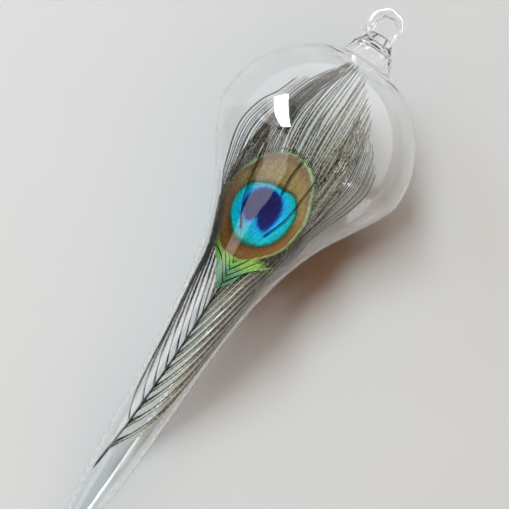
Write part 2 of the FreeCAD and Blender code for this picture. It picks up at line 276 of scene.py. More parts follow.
def sheet_frames(places):
    """Frames of a line that lies on the feather's sheet: the normal points away from the glass axis."""
    outwards = places * [1.0, 1.0, 0.0] + [0.0, FACING_BACK, 0.0]
    return line_frames(places, outwards)


def add_tube(piece, places, frames, radii, sides, **values):
    """A closed rod along places. radii has one number per place, or one per place and side."""
    _, across, normal = frames
    turns = turns_round(sides)
    radii = np.reshape(radii, (len(places), -1))
    rings = (places[:, None, :]
             + across[:, None, :] * (radii * np.cos(turns))[:, :, None]
             + normal[:, None, :] * (radii * np.sin(turns))[:, :, None])
    spread = {}
    for name, value in values.items():
        spread[name] = np.repeat(np.broadcast_to(value, len(places)), sides)
    piece.add(rings, tube_faces(len(places), sides), True, **spread)


BLADE_FACES = [(0, 2, 1), (0, 1, 3), (1, 2, 3), (2, 0, 3)]
BLADE_THICKNESS = 0.045
BLADE_TILT = 0.16             # scatter of how far blades lean out of the sheet
BLADE_LENGTHS = (0.7, 1.15)   # shortest and longest, as shares of the length asked for
SPACING_SCATTER = 0.12        # as a share of the spacing
BEAD_PITCH = 1.5              # barbules turn from dark to pale and back over this length of a barb


def bead_pattern(at, start):
    """0 to 1 along a barb, in uneven beads."""
    phase = 2.0 * math.pi * (at / BEAD_PITCH + start) + 1.3 * np.sin(at / 2.3 + 9.0 * start)
    return ramp(np.sin(phase) + 0.5 * np.sin(0.61 * phase + 3.0 * start), -0.5, 0.6)


def add_blades(piece, places, frames, spacing, length, lean, width, **values):
    """Barbules: slim pointed blades on both sides of a line, leaning towards its tip.

    length is one number per place. Each blade is a closed four-sided sliver rooted in the line.
    """
    along, across, normal = frames
    beads = rng.uniform()
    runs = lengths_along(places)
    for sign in (-1.0, 1.0):
        at = np.arange(spacing * rng.uniform(0.2, 0.8), runs[-1], spacing)
        at = np.clip(at + rng.normal(0.0, SPACING_SCATTER * spacing, len(at)), 0.0, runs[-1])

        def pick(numbers):
            """The line's numbers at the roots of the blades."""
            numbers = np.broadcast_to(numbers, (len(places),) + np.shape(numbers)[1:])
            if numbers.ndim == 1:
                return np.interp(at, runs, numbers)
            return np.stack([np.interp(at, runs, column) for column in numbers.T], axis=1)

        root = pick(places)
        forward = pick(along)
        sideways = pick(across) * sign
        out = pick(normal)
        blade_length = (pick(length) * rng.uniform(*BLADE_LENGTHS, len(at)))[:, None]
        tilt = rng.normal(0.0, BLADE_TILT, len(at))[:, None]
        heading = unit(forward * math.cos(lean) + sideways * math.sin(lean) + out * tilt)
        half = forward * width / 2.0
        thick = out * BLADE_THICKNESS
        tip = root + heading * blade_length
        blades = np.stack([root - half, root + half, root - thick, tip], axis=1)
        faces = []
        for number in range(len(at)):
            for face in BLADE_FACES:
                ordered = face if sign > 0 else face[::-1]
                faces.append([4 * number + corner for corner in ordered])
        spread = {name: np.repeat(pick(value), 4) for name, value in values.items()}
        spread["grain"] = np.repeat(rng.uniform(0.0, 1.0, len(at)), 4)
        spread["bead"] = np.repeat(bead_pattern(at, beads), 4)
        spread["out"] = np.tile([0.0, 0.0, 0.0, 1.0], len(at))
        piece.add(blades, faces, False, **spread)


# ---- materials ----

def colour(red, green, blue):
    """Linear colour from display values of 0 to 255."""
    def linear(value):
        value /= 255.0
        return value / 12.92 if value <= 0.04045 else ((value + 0.055) / 1.055) ** 2.4

    return (linear(red), linear(green), linear(blue), 1.0)


def set_inputs(node, **values):
    """Plain values for a node's inputs. An underscore stands for a space in the input's name."""
    for name, value in values.items():
        node.inputs[name.replace("_", " ")].default_value = value


class Network:
    """A node tree, with short ways to add nodes to it and take the socket that they give."""

    def __init__(self, tree):
        self.nodes = tree.nodes
        self.links = tree.links

    def new(self, kind):
        return self.nodes.new("ShaderNode" + kind)

    def link(self, output, target):
        self.links.new(output, target)

    def attribute(self, name):
        """One of the mesh's numbers."""
        node = self.new("Attribute")
        node.attribute_name = name
        return node.outputs["Fac"]

    def place(self):
        """The piece's own coordinates, in metres, one by one."""
        split = self.new("SeparateXYZ")
        self.link(self.new("TexCoord").outputs["Object"], split.inputs["Vector"])
        return split.outputs

    def depth(self):
        """Depth below the crown in millimetres."""
        scaled = self.math("MULTIPLY", self.place()["Z"], -1.0 / MM)
        return self.math("ADD", scaled, float(CROWN_Z))

    def math(self, operation, first, second):
        """A Math node; each input is a socket or a number."""
        node = self.new("Math")
        node.operation = operation
        for socket, value in zip(node.inputs, (first, second)):
            if isinstance(value, (int, float)):
                socket.default_value = value
            else:
                self.link(value, socket)
        return node.outputs[0]

    def map_range(self, value, low, high, to_low=0.0, to_high=1.0):
        """A socket's value moved softly from low..high to to_low..to_high."""
        node = self.new("MapRange")
        node.interpolation_type = "SMOOTHSTEP"
        self.link(value, node.inputs["Value"])
        set_inputs(node, From_Min=low, From_Max=high, To_Min=to_low, To_Max=to_high)
        return node.outputs["Result"]

    def noise(self, vector, scale, detail):
        node = self.new("TexNoise")
        set_inputs(node, Scale=scale, Detail=detail)
        self.link(vector, node.inputs["Vector"])
        return node.outputs["Fac"]

    def object_noise(self, scale, detail=2.0, stretch=(1.0, 1.0, 1.0)):
        """Noise in the piece's own coordinates, with features drawn out where stretch is small."""
        mapping = self.new("Mapping")
        set_inputs(mapping, Scale=stretch)
        self.link(self.new("TexCoord").outputs["Object"], mapping.inputs["Vector"])
        return self.noise(mapping.outputs["Vector"], scale, detail)

    def streak_noise(self):
        """Noise drawn out along the eye's barbs, from each point's heading and distance."""
        place = self.new("CombineXYZ")
        self.link(self.math("MULTIPLY", self.attribute("heading"), 0.9), place.inputs["X"])
        self.link(self.math("MULTIPLY", self.attribute("far"), 0.8), place.inputs["Y"])
        return self.noise(place.outputs["Vector"], 1.0, 2.0)

    def colour_ramp(self, value, stops):
        """The colour of a socket's value between (position, (r, g, b)) stops."""
        node = self.new("ValToRGB")
        elements = node.color_ramp.elements
        while len(elements) < len(stops):
            elements.new(0.5)
        for element, (position, shade) in zip(elements, stops):
            element.position = position
            element.color = colour(*shade)
        self.link(value, node.inputs["Fac"])
        return node.outputs["Color"]

    def mix(self, factor, first, second, blend="MIX"):
        """A mix of two colours, which are sockets or display values, by a socket."""
        node = self.new("Mix")
        node.data_type = "RGBA"
        node.blend_type = blend
        self.link(factor, node.inputs[0])
        for socket, value in ((node.inputs[6], first), (node.inputs[7], second)):
            if isinstance(value, tuple):
                socket.default_value = colour(*value)
            else:
                self.link(value, socket)
        return node.outputs[2]

    def vary_light(self, tint, amounts, total=1.0):
        """tint made lighter and darker by several 0-to-1 sockets, each with its own strength."""
        for socket, strength in amounts:
            centred = self.math("SUBTRACT", socket, 0.5)
            total = self.math("ADD", self.math("MULTIPLY", centred, 2.0 * strength), total)
        bright = self.new("HueSaturation")
        self.link(total, bright.inputs["Value"])
        self.link(tint, bright.inputs["Color"])
        return bright.outputs["Color"]

    def let_through(self, factor, shader, through):
        """The shader as the surface, with the transparent node in its place where factor is 1."""
        mix = self.new("MixShader")
        self.link(factor, mix.inputs["Fac"])
        self.link(shader.outputs["BSDF"], mix.inputs[1])
        self.link(through.outputs["BSDF"], mix.inputs[2])
        self.link(mix.outputs["Shader"], self.nodes["Material Output"].inputs["Surface"])


def new_material(name):
    material = bpy.data.materials.new(name)
    material.use_nodes = True
    net = Network(material.node_tree)
    return material, net, net.nodes["Principled BSDF"]


def dress(net, shader, tint, roughness, gloss):
    """Gives a shader its colour socket, and its plain numbers."""
    net.link(tint, shader.inputs["Base Color"])
    set_inputs(shader, Roughness=roughness, Specular_IOR_Level=gloss)


def clear_glass():
    """Clear blown glass. Shadow rays pass with a faint warm loss, so that what is inside is lit."""
    material, net, shader = new_material("clear_glass_blown")
    set_inputs(shader, Base_Color=(0.998, 1.0, 0.999, 1.0), Roughness=0.0, IOR=1.47,
               Transmission_Weight=1.0)
    bump = net.new("Bump")
    set_inputs(bump, Strength=0.05, Distance=0.0004)
    net.link(net.object_noise(55.0, 1.0), bump.inputs["Height"])
    net.link(bump.outputs["Normal"], shader.inputs["Normal"])
    through = net.new("BsdfTransparent")
    facing = net.new("LayerWeight")
    set_inputs(facing, Blend=0.5)
    loss = net.colour_ramp(facing.outputs["Facing"], [
        (0.0, (255, 255, 255)), (0.6, (254, 254, 253)), (0.88, (246, 238, 229)),
        (1.0, (222, 203, 185)),
    ])
    net.link(loss, through.inputs["Color"])
    path = net.new("LightPath")
    net.let_through(path.outputs["Is Shadow Ray"], shader, through)
    return material


ZONES = 6.0                   # the eye's zone numbers run from 0 to this
EDGE_RAGGEDNESS = 0.22        # how far the zones' edges wander, in zone numbers


def eye_material():
    """The eye's web and barbs: zone colours from the pupil outwards, with the grain of the barbs."""
    material, net, shader = new_material("feather_eye")
    zone, strand, grain, rear = map(net.attribute, ("zone", "strand", "grain", "rear"))
    depth = net.depth()
    ragged = net.math("SUBTRACT", net.object_noise(2600.0, 1.0), 0.5)
    offset = net.math("MULTIPLY", ragged, EDGE_RAGGEDNESS)
    scaled = net.math("DIVIDE", net.math("ADD", zone, offset), ZONES)

    def stops(rows):
        return [(position / ZONES, shade) for position, shade in rows]

    inner = [
        (0.0, (3, 10, 84)), (0.8, (3, 14, 102)), (0.95, (2, 44, 150)), (1.03, (0, 146, 228)),
        (1.15, (0, 200, 244)), (1.6, (0, 212, 230)), (1.86, (14, 196, 188)), (1.97, (12, 120, 96)),
        (2.05, (62, 76, 40)),
    ]
    upper = net.colour_ramp(scaled, stops(inner + [
        (2.16, (182, 150, 88)), (2.55, (190, 158, 98)), (2.82, (172, 132, 98)), (2.91, (172, 150, 112)),
        (2.96, (194, 214, 160)), (3.06, (172, 190, 140)), (3.2, (104, 96, 84)), (5.5, (70, 64, 50)),
    ]))
    lower = net.colour_ramp(scaled, stops(inner + [
        (2.16, (126, 78, 34)), (2.6, (158, 106, 48)), (2.9, (142, 98, 46)), (2.96, (212, 206, 118)),
        (3.05, (150, 152, 88)), (3.14, (60, 56, 36)), (5.5, (50, 46, 34)),
    ]))
    towards_quill = net.map_range(depth, 45.0, 56.0)
    tint = net.mix(towards_quill, upper, lower)
    outside = net.map_range(zone, 2.88, 3.05)
    under = net.map_range(depth, 64.5, 67.5)
    lime = net.math("MULTIPLY", outside, under)
    green = net.colour_ramp(net.map_range(depth, 66.0, 80.0), [
        (0.0, (190, 228, 96)), (0.22, (168, 212, 108)), (0.45, (136, 184, 140)), (1.0, (98, 134, 104)),
    ])
    tint = net.mix(lime, tint, green)
    speckle = net.map_range(net.object_noise(1700.0, 2.0), 0.3, 0.7)
    rib = net.math("MULTIPLY", net.attribute("rib"), lime)
    tint = net.mix(rib, tint, (22, 30, 20))
    streaks = net.map_range(net.streak_noise(), 0.34, 0.66)
    tint = net.mix(rear, tint, (100, 87, 70))
    amounts = [(strand, 0.14), (grain, 0.3), (speckle, 0.18), (streaks, 0.28)]
    tint = net.vary_light(tint, amounts, 1.3)
    dress(net, shader, tint, 0.5, 0.25)
    return material


BARB_NUMBERS = ("strand", "grain", "out", "warm", "blade", "light", "dark", "bead")


def barb_material():
    """Loose barbs: near-black ribs, barbules from dark olive brown to cream, the cream partly their tone
    and partly painted sheen.
    """
    material, net, shader = new_material("feather_loose_barb")
    strand, grain, out, warm, blade, light, dark, bead = map(net.attribute, BARB_NUMBERS)
    patches = net.map_range(net.object_noise(500.0, 2.0), 0.35, 0.65)
    mixed = 0.0
    for socket, strength in ((grain, 0.24), (patches, 0.16), (bead, 0.38), (strand, 0.4)):
        part = net.math("MULTIPLY", socket, strength)
        mixed = net.math("ADD", part, mixed)
    # the cream end of this ramp is partly the barbules' own tone and partly painted sheen
    shade = net.colour_ramp(mixed, [
        (0.0, (18, 13, 7)), (0.36, (48, 36, 18)), (0.48, (120, 96, 58)), (0.6, (234, 206, 156)),
        (1.0, (255, 244, 210)),
    ])
    tint = net.mix(warm, shade, (176, 150, 140), "MULTIPLY")
    tint = net.mix(dark, tint, (30, 24, 15))
    # painted sheen: the light number turns barbules and ribs near white where barbs cross the gap, and
    # beside the left wall it paints a reflection streak
    beaded = net.math("ADD", net.math("MULTIPLY", bead, 0.45), 0.55)
    pale = net.math("MULTIPLY", light, beaded)
    tint = net.mix(pale, tint, (250, 242, 222))
    rib = net.mix(light, (14, 12, 8), (246, 238, 228))
    tint = net.mix(blade, rib, tint)
    tint = net.vary_light(tint, [(strand, 0.2), (out, 0.10)])
    dress(net, shader, tint, 0.45, 0.3)
    return material


def shaft_material():
    """Quill and shaft: dark horn with paler streaks along its length."""
    material, net, shader = new_material("feather_quill")
    streaks = net.object_noise(700.0, 2.0, (1.0, 1.0, 0.15))
    tint = net.colour_ramp(streaks, [(0.3, (30, 26, 20)), (0.6, (52, 45, 34)), (0.8, (96, 86, 66))])
    dress(net, shader, tint, 0.35, 0.5)
    return material


# ---- glass ----

GLASS_SIDES = 176
FLUTES = 11
FLUTE_HEIGHT = 0.2
# rings of points in each part of the outer surface, and in the neck's inside
TIP_RINGS = 9
TAIL_RINGS = 130
BULB_RINGS = 44
NECK_RINGS = 46
NECK_INSIDE_RINGS = 30
INSIDE_STOP = 0.6             # the wall is offset up to this far below the neck outline's start
OVAL_HEIGHT = 0.06            # the waves of hand blowing
THREE_SIDED_HEIGHT = 0.04


def outer_profile():
    """(depth, radius) of the outer surface from the tip to the top of the gather."""
    turn = np.linspace(0.0, math.pi / 2.0, TIP_RINGS)
    tip_start = TIP_DEPTH - TIP_ROUND
    tip = np.stack([tip_start + TIP_ROUND * np.cos(turn), TIP_ROUND * np.sin(turn)], axis=1)
    depths = np.linspace(tip_start, BULB_RADIUS, TAIL_RINGS)[1:]
    tail = np.stack([depths, tail_radius(depths)], axis=1)
    low = math.asin((BULB_RADIUS - NECK_OUTLINE[0][0]) / BULB_RADIUS)
    rise = np.linspace(0.0, low, BULB_RINGS)[1:-1]
    bulb = np.stack([BULB_RADIUS - BULB_RADIUS * np.sin(rise), BULB_RADIUS * np.cos(rise)], axis=1)
    neck = smooth_line(NECK_OUTLINE, NECK_RINGS)
    return np.concatenate([tip, tail, bulb, neck])


def inner_profile(outer):
    """(depth, radius) of the inner surface: the outer one moved in by the wall, then the dimple."""
    below_neck = outer[outer[:, 0] > NECK_OUTLINE[0][0] + INSIDE_STOP]
    along = unit(np.gradient(below_neck, axis=0))
    inwards = np.stack([along[:, 1], -along[:, 0]], axis=1)
    inwards *= np.sign(-inwards[len(inwards) // 2, 1])
    moved = below_neck + inwards * GLASS_WALL
    moved[0] = [TIP_DEPTH - GLASS_WALL, 0.0]
    return np.concatenate([moved, smooth_line(NECK_INSIDE, NECK_INSIDE_RINGS)])


def blown(depth, turn, radius, flute):
    """Radius with the small waves of hand blowing, and flutes pinched into the neck."""
    oval = OVAL_HEIGHT * np.sin(2.0 * turn + 0.05 * depth)
    three_sided = THREE_SIDED_HEIGHT * np.sin(3.0 * turn - 0.11 * depth + 1.3)
    waved = radius + (oval + three_sided) * ramp(radius, 1.0, 8.0)
    pinch = ramp(depth, 5.0, -2.0) * ramp(radius, 0.6, 3.0)
    return waved + flute * pinch * np.cos(FLUTES * turn + 0.25 * depth)


def revolve(piece, profile, flute, inside):
    """A closed surface of revolution whose first and last profile points are on the axis."""
    turns = turns_round(GLASS_SIDES)
    depth = profile[1:-1, 0][:, None]
    radius = blown(depth, turns[None, :], profile[1:-1, 1][:, None], flute)
    rows = in_frame(radius * np.cos(turns), radius * np.sin(turns), depth)
    ends = in_frame(np.zeros(2), np.zeros(2), profile[[0, -1], 0])
    faces = tube_faces(len(depth), GLASS_SIDES, closed_ends=False)
    first = len(depth) * GLASS_SIDES
    last = first + 1
    top = (len(depth) - 1) * GLASS_SIDES
    for k in range(GLASS_SIDES):
        after = (k + 1) % GLASS_SIDES
        faces.append((first, after, k))
        faces.append((last, top + k, top + after))
    if inside:
        faces = [face[::-1] for face in faces]
    piece.add(np.concatenate([rows.reshape(-1, 3), ends]), faces, True)


def glass_body(material):
    """Bulb, tail, neck and gather as one fused wall of glass."""
    piece = Piece()
    outer = outer_profile()
    revolve(piece, outer, FLUTE_HEIGHT, False)
    revolve(piece, inner_profile(outer), 0.5 * FLUTE_HEIGHT, True)
    body = piece.build("blown_glass_body", material, "glass", "clear_glass")
    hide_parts("glass_envelope", "neck_gather")
    return body


ROD_RINGS = 150
ROD_SIDES = 36
ROD_LOBES = 3
ROD_LOBE_HEIGHT = 0.06        # as a share of the rod's radius
ROD_TWIST = 11.0              # rod length in which the lobes go once round
ROD_EASE = 0.93               # keeps the lobes within the rod's radius
# the loop's rod: (side, Z, radius)
LOOP_LINE = [
    (-2.5, -8.8, 1.5), (-3.5, -7.0, 1.6), (-4.25, -5.3, 1.75), (-4.55, -3.4, 1.8), (-4.25, -1.2, 1.72),
    (-2.9, 0.75, 1.6), (-0.6, 1.45, 1.45), (1.75, 0.75, 1.3), (3.3, -0.8, 1.05), (3.65, -2.6, 0.8),
    (3.5, -4.4, 0.72), (3.25, -5.9, 0.85), (2.7, -7.8, 1.0),
]


def hanging_loop(material):
    """One tapering rod, twisted while soft and bent over into a loop."""
    line = smooth_line(LOOP_LINE, ROD_RINGS)
    places = np.stack([line[:, 0], np.zeros(len(line)), line[:, 1]], axis=1)
    frames = line_frames(places, np.tile([0.0, 1.0, 0.0], (len(places), 1)))
    twist = 2.0 * math.pi * lengths_along(places)[:, None] / ROD_TWIST
    lobes = 1.0 + ROD_LOBE_HEIGHT * np.cos(ROD_LOBES * (turns_round(ROD_SIDES)[None, :] + twist))
    piece = Piece()
    add_tube(piece, places, frames, line[:, 2][:, None] * lobes * ROD_EASE, ROD_SIDES)
    loop = piece.build("hanging_loop", material, "glass", "clear_glass")
    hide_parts("hanger_loop")
    return loop


# ---- the eye ----

EYE_CENTRE = (50.8, -2.6)     # depth, side
# outlines round the eye's centre: (degrees from the neck direction towards +X, distance)
PUPIL_EDGE = [
    (0, 5.2), (50, 5.2), (90, 5.2), (125, 6.1), (153, 7.8), (170, 6.2), (182, 4.1), (190, 5.6),
    (201, 6.9), (233, 6.6), (291, 5.4), (360, 5.2),
]
RING_EDGE = [
    (0, 6.3), (20, 6.9), (42, 8.9), (69, 9.4), (95, 9.7), (121, 10.6), (157, 12.3), (184, 12.8),
    (214, 11.1), (253, 9.2), (295, 7.8), (330, 6.5), (360, 6.3),
]
DISC_EDGE = [
    (0, 17.4), (14, 17.0), (31, 15.7), (60, 12.9), (95, 12.6), (128, 14.0), (155, 15.7), (175, 18.0),
    (190, 18.2), (204, 16.5), (220, 14.3), (250, 12.8), (277, 12.6), (308, 13.0), (335, 16.2),
    (360, 17.6),
]
OUTSIDE_ZONE = 4.0            # distance over which the zone number grows by one outside the disc
# how far the web goes on past the disc, by bearing: down to the root of its barbs
WEB_MARGIN = [
    (0, 0.8), (146, 0.8), (160, 2.6), (170, 6.4), (178, 10.0), (184, 6.6), (190, 3.2), (200, 1.2),
    (212, 0.7), (360, 0.8),
]
STREAK_ROOT = (68.0, -1.8)    # the web's streaks fan out from here: depth, side
WEB_RINGS = 74
WEB_BEARINGS = 220
WEB_THICKNESS = 0.12
WEB_BEHIND = 0.12             # how far the web lies behind the feather's sheet
RIDGE_HEIGHT = 0.03           # ridges of the locked barbs
RIDGE_TURN = 15.0             # radians of their wave in one millimetre across
NOTCH_DEPTH = 0.25            # the web's edge is notched this deep, NOTCHES times round
NOTCHES = 47

pupil_edge, ring_edge, disc_edge = smooth(PUPIL_EDGE), smooth(RING_EDGE), smooth(DISC_EDGE)


def eye_zone(depth, side):
    """0 to 1 pupil, 1 to 2 ring, 2 to 3 disc, and over 3 outside, growing outwards."""
    up = EYE_CENTRE[0] - depth
    across = side - EYE_CENTRE[1]
    bearing = np.degrees(np.arctan2(across, up)) % 360.0
    distance = np.hypot(up, across)
    first = pupil_edge(bearing)
    second = ring_edge(bearing)
    third = disc_edge(bearing)
    zone = np.where(distance < first, distance / first, 1.0 + (distance - first) / (second - first))
    zone = np.where(distance > second, 2.0 + (distance - second) / (third - second), zone)
    return np.where(distance > third, np.minimum(3.0 + (distance - third) / OUTSIDE_ZONE, 5.9), zone)


def eye_web():
    """The eye's backing: barbs locked into one thin curved web, egg-shaped, closed at its edge."""
    turns = np.arange(WEB_BEARINGS) * 360.0 / WEB_BEARINGS
    notches = NOTCH_DEPTH * np.sin(np.radians(turns) * NOTCHES)
    edge = disc_edge(turns) + smooth(WEB_MARGIN)(turns) + notches
    distance = np.linspace(0.012, 1.0, WEB_RINGS)[:, None] * edge[None, :]
    depth = EYE_CENTRE[0] - distance * np.cos(np.radians(turns))
    side = EYE_CENTRE[1] + distance * np.sin(np.radians(turns))
    centre = on_sheet_at(depth, side, WEB_BEHIND)
    ridges = RIDGE_HEIGHT * np.sin(side * RIDGE_TURN)
    half = WEB_THICKNESS / 2.0
    front = (centre + (ridges - half)[:, :, None] * [0.0, 1.0, 0.0]).reshape(-1, 3)
    back = (centre + (ridges + half)[:, :, None] * [0.0, 1.0, 0.0]).reshape(-1, 3)
    count = len(front)
    zone = eye_zone(depth, side).ravel()
    heading = np.degrees(np.arctan2(side - STREAK_ROOT[1], STREAK_ROOT[0] - depth)).ravel()
    far = np.hypot(side - STREAK_ROOT[1], STREAK_ROOT[0] - depth).ravel()
    strand = np.interp(heading, np.linspace(-180.0, 180.0, 360), rng.uniform(0.0, 1.0, 360))
    sheet = tube_faces(WEB_RINGS, WEB_BEARINGS, closed_ends=False)
    cap = tuple(range(WEB_BEARINGS))
    faces = [face[::-1] for face in sheet] + [cap]
    faces += [tuple(count + i for i in face) for face in sheet]
    faces.append(tuple(count + i for i in reversed(cap)))
    last = (WEB_RINGS - 1) * WEB_BEARINGS
    for k in range(WEB_BEARINGS):
        after = last + (k + 1) % WEB_BEARINGS
        faces.append((last + k, count + last + k, count + after, after))
    piece = Piece("zone", "strand", "grain", "rear", "rib", "heading", "far")
    rear = np.concatenate([np.zeros(count), np.ones(count)])
    piece.add(np.concatenate([front, back]), faces, True, grain=0.4, rear=rear,
              zone=np.tile(zone, 2), strand=np.tile(strand, 2),
              heading=np.tile(heading, 2), far=np.tile(far, 2))
    return piece


EYE_BARBS = 62
MARK_EVERY = 4                # one eye barb in this many shows as a dark V below the disc
EYE_ROOTS = (57.0, 77.0)      # depths of the innermost and the outermost barbs' roots
EYE_RIB = 0.075
MARKED_RIB = 0.1              # what a marked rib's radius has more
EYE_BARB_STEPS = 60
EYE_BARBULE_SPACING = 0.42
EYE_BARBULE_LEAN = math.radians(36)
EYE_BARBULE_WIDTH = 0.5
CROWN_RIB = 0.125
CROWN_BARB_STEPS = 70
THIN_CROWN = (0.34, 0.6)      # between these shares one barb in THIN_EVERY doesn't go on
THIN_EVERY = 4
# where the eye's barbs cross its upper rim, by their share from the leftmost to the rightmost
RIM_DEPTH = [
    (0.0, 56.0), (0.08, 48.5), (0.22, 40.0), (0.36, 35.6), (0.5, 33.6), (0.64, 34.6), (0.8, 39.0),
    (0.93, 46.0), (1.0, 53.0),
]
RIM_SIDE = [
    (0.0, -15.6), (0.08, -14.9), (0.22, -11.8), (0.36, -7.4), (0.5, -2.8), (0.64, 2.4), (0.8, 7.4),
    (0.93, 10.2), (1.0, 11.4),
]
# where the crown's barbs end, and how far they bow to the side, by the same share
CROWN_TIP_DEPTH = [
    (0.0, 8.5), (0.2, 4.5), (0.45, 3.0), (0.62, 4.0), (0.75, 8.5), (0.88, 12.5), (1.0, 16.0),
]
CROWN_TIP_SIDE = [
    (0.0, -8.0), (0.2, -4.8), (0.45, -2.2), (0.62, 1.6), (0.75, 5.6), (0.88, 9.4), (1.0, 12.6),
]
CROWN_BULGE = [(0.0, -4.8), (0.3, -3.8), (0.55, -1.2), (1.0, 2.2)]

rim_depth, rim_side = smooth(RIM_DEPTH), smooth(RIM_SIDE)
tip_depth, tip_side, bulge = smooth(CROWN_TIP_DEPTH), smooth(CROWN_TIP_SIDE), smooth(CROWN_BULGE)


def eye_barbs(eye, crown):
    """Barbs that run from the shaft through the eye, past its rim, and on into the crown."""
    for number in range(EYE_BARBS):
        share = (number + 0.5) / EYE_BARBS
        rim = (float(rim_depth(share)), float(rim_side(share)))
        strand = eye_barb(eye, number, share, rim)
        crown_barb(crown, number, share, rim, strand)


def eye_barb(eye, number, share, rim):
    """One barb from the shaft to the eye's rim. Gives back its shade number."""
    away = 2.0 * share - 1.0
    spread = abs(away)
    root = EYE_ROOTS[0] + (EYE_ROOTS[1] - EYE_ROOTS[0]) * spread ** 0.8
    start = (root, float(shaft_side(root)))
    # two points between give the outer barbs their bow: close above the shaft, and below the rim
    first = (root - 4.0 - 3.0 * spread, start[1] + away * 5.5)
    second = (rim[0] + 9.0 + 4.0 * spread, rim[1] - away * 0.8 * (1.0 - spread))
    depth, side = smooth_line([start, first, second, rim], EYE_BARB_STEPS).T
    places = on_sheet_at(depth, side, -0.05 - 0.05 * (number % 3))
    strand = rng.uniform()
    frames = sheet_frames(places)
    zone = eye_zone(depth, side)
    marked = 1.0 if number % MARK_EVERY == 1 else 0.0
    radii = np.interp(depth, [62.0, 67.0], [EYE_RIB, EYE_RIB + MARKED_RIB * marked])
    add_tube(eye, places, frames, radii, 4, zone=zone, strand=strand, grain=0.3, rib=marked)
    length = np.interp(depth, [34.0, 60.0, 76.0], [0.6, 0.65, 0.5])
    add_blades(eye, places, frames, EYE_BARBULE_SPACING, length, EYE_BARBULE_LEAN,
               EYE_BARBULE_WIDTH, zone=zone, strand=strand)
    return strand


def crown_barb(crown, number, share, rim, strand):
    """The same barb from the eye's rim on to its tip, loose."""
    tip = (float(tip_depth(share)) + rng.normal(0.0, 0.7),
           float(tip_side(share)) + rng.normal(0.0, 0.35))
    travel = np.linspace(0.0, 1.0, CROWN_BARB_STEPS)
    depth = rim[0] + (tip[0] - rim[0]) * travel
    bend = float(bulge(share)) * np.sin(math.pi * travel) * (1.0 - 0.3 * travel)
    wander = rng.normal(0.0, 0.25) * np.sin(2.0 * math.pi * travel)
    side = rim[1] + (tip[1] - rim[1]) * travel + bend + wander
    if number % THIN_EVERY == 3 and THIN_CROWN[0] < share < THIN_CROWN[1]:
        return
    places = on_sheet_at(depth, side, rng.uniform(-0.3, 0.1))
    pale = rng.choice([0.0, 0.1, 0.55]) + 0.2 * (share < 0.4)
    add_barb(crown, places, CROWN_RIB, strand, fluff=0.85 + 0.25 * (share < 0.34),
             warm=0.2 + 0.6 * (share < 0.4), pale=pale)


RIB_TAPER = 0.4               # share of its radius that a rib loses towards its tip
BARBULE_TAPER = 0.65          # share of their length that barbules lose towards the tip
BARBULE_SPACING = 0.36
BARBULE_LEAN = math.radians(30)
BARBULE_WIDTH = 0.62


def add_barb(piece, places, thick, strand, fluff, warm, pale, painted_rib_highlight=0.0, dark=0.0):
    """One loose barb: a dark rib with barbules that shorten towards its tip.

    fluff is the barbules' length. warm, pale, painted_rib_highlight and dark go from 0 to 1.
    """
    frames = sheet_frames(places)
    share = np.linspace(0.0, 1.0, len(places))
    radii = thick * (1.0 - RIB_TAPER * share)
    # painted sheen: the rib is painted pale where barbs cross the gap, and beside the left wall as part
    # of a painted reflection streak
    add_tube(piece, places, frames, radii, 5, strand=strand, light=painted_rib_highlight)
    length = fluff * (1.0 - BARBULE_TAPER * share ** 1.5)
    # pale lightens the barbules: partly their cream tone, partly painted sheen and a painted reflection
    # streak
    add_blades(piece, places, frames, BARBULE_SPACING, length, BARBULE_LEAN, BARBULE_WIDTH,
               strand=strand, warm=warm, blade=1.0, light=pale, dark=dark)


# ---- loose side barbs ----

# how far round the glass axis each side's barbs reach, outermost and innermost: (depth, degrees)
LEFT_OUTER = [
    (3.0, 15.0), (6.0, 31.0), (12.0, 37.0), (20.0, 39.5), (25.0, 45.5), (33.0, 51.5), (43.0, 62.0),
    (54.0, 82.0), (70.0, 92.0), (140.0, 94.0),
]
LEFT_INNER = [
    (3.0, 4.0), (6.0, 9.0), (12.0, 14.0), (20.0, 18.0), (33.0, 21.0), (54.0, 27.0), (70.0, 12.0),
]
RIGHT_OUTER = [
    (14.0, 30.0), (18.0, 37.0), (22.0, 44.0), (25.0, 46.0), (32.0, 49.0), (42.0, 52.0), (52.0, 56.0),
    (62.0, 84.0), (70.0, 98.0), (140.0, 104.0),
]
RIGHT_INNER = [(14.0, 14.0), (25.0, 13.0), (34.0, 14.0), (42.0, 16.0), (54.0, 17.0), (70.0, 10.0)]
FAN_DEPTHS = (54.0, 76.0)     # fanned out above the first, packed side by side below the second
# how far up a barb takes to reach the wall, by its rank from 0 to 1
LEFT_SPREAD = [(0.0, 13.0), (0.6, 11.0), (1.0, 7.0)]
RIGHT_SPREAD = [(0.0, 20.0), (1.0, 17.0)]
LEFT_FIRST_NODE = 76.0
RIGHT_FIRST_NODE = 76.5
NODE_STEPS = (3.2, 0.17)      # the nodes stand further apart towards the quill
# the barbs of one node: how far below the node they leave, their rib radius, and their sweep
LEFT_NODE = [(0.0, 0.16, 1.0), (0.9, 0.08, 1.25)]
RIGHT_NODE = [(0.0, 0.16, 1.0), (0.9, 0.13, 1.2), (2.4, 0.1, 1.15)]
# shares of its swing to the wall between which a barb stops crossing the gap
LEFT_PACKING = (0.55, 0.85)
RIGHT_PACKING = (0.3, 0.62)
BARB_STEPS = 150
ROOT_SCATTER = 0.25
TIP_SCATTER = 1.6
FAN_SCATTER = 0.45            # in places of the fan
BEHIND_SCATTER = 0.1


